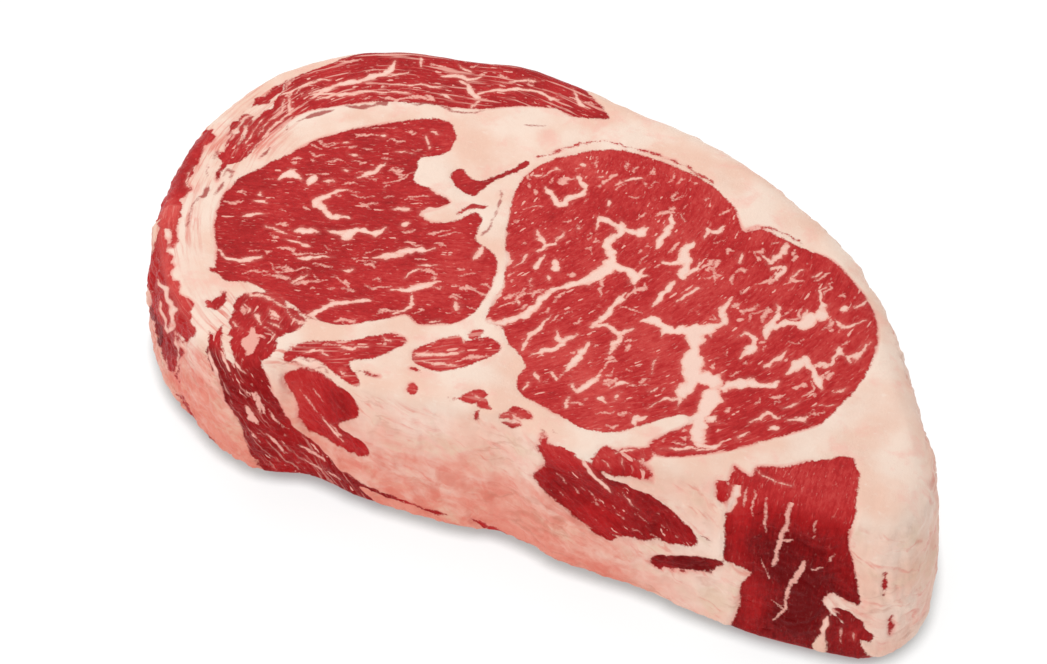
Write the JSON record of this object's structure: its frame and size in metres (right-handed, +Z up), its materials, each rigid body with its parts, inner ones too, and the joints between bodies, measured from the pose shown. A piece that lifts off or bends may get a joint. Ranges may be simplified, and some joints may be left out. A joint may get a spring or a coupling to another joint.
{
  "type": "raw ribeye steak",
  "caption": "Thick-cut raw boneless ribeye steak: marbled muscles set in a body of white fat, lying on its flat lower face.",
  "frame": {"origin": "under the middle of the steak's bounding box, on the flat face it rests on", "axes": "+X along the steak's long side towards its narrow fat end, +Z up through its thickness, +Y away from the rib side"},
  "size_m": [0.2224, 0.131, 0.0491],
  "materials": {
    "lean_bright": "moist, satin",
    "lean_deep": "moist, satin",
    "lean_dark": "moist, satin",
    "fat": "waxy, satin"
  },
  "bodies": {
    "root": {"eye_muscle": "lean_bright", "large_left_muscle": "lean_deep", "outer_band_muscle": "lean_deep", "comma_muscle": "lean_dark", "rib_left_muscle": "lean_deep", "rib_middle_muscle": "lean_bright", "rib_edge_muscle": "lean_bright", "chain_muscle": "lean_dark", "corner_muscle": "lean_dark", "side_oval_muscle": "lean_bright", "side_diamond_muscle": "lean_dark", "side_slit_muscle": "lean_dark", "end_strip_muscle": "lean_deep", "fat": "fat"}
  },
  "joints": []
}
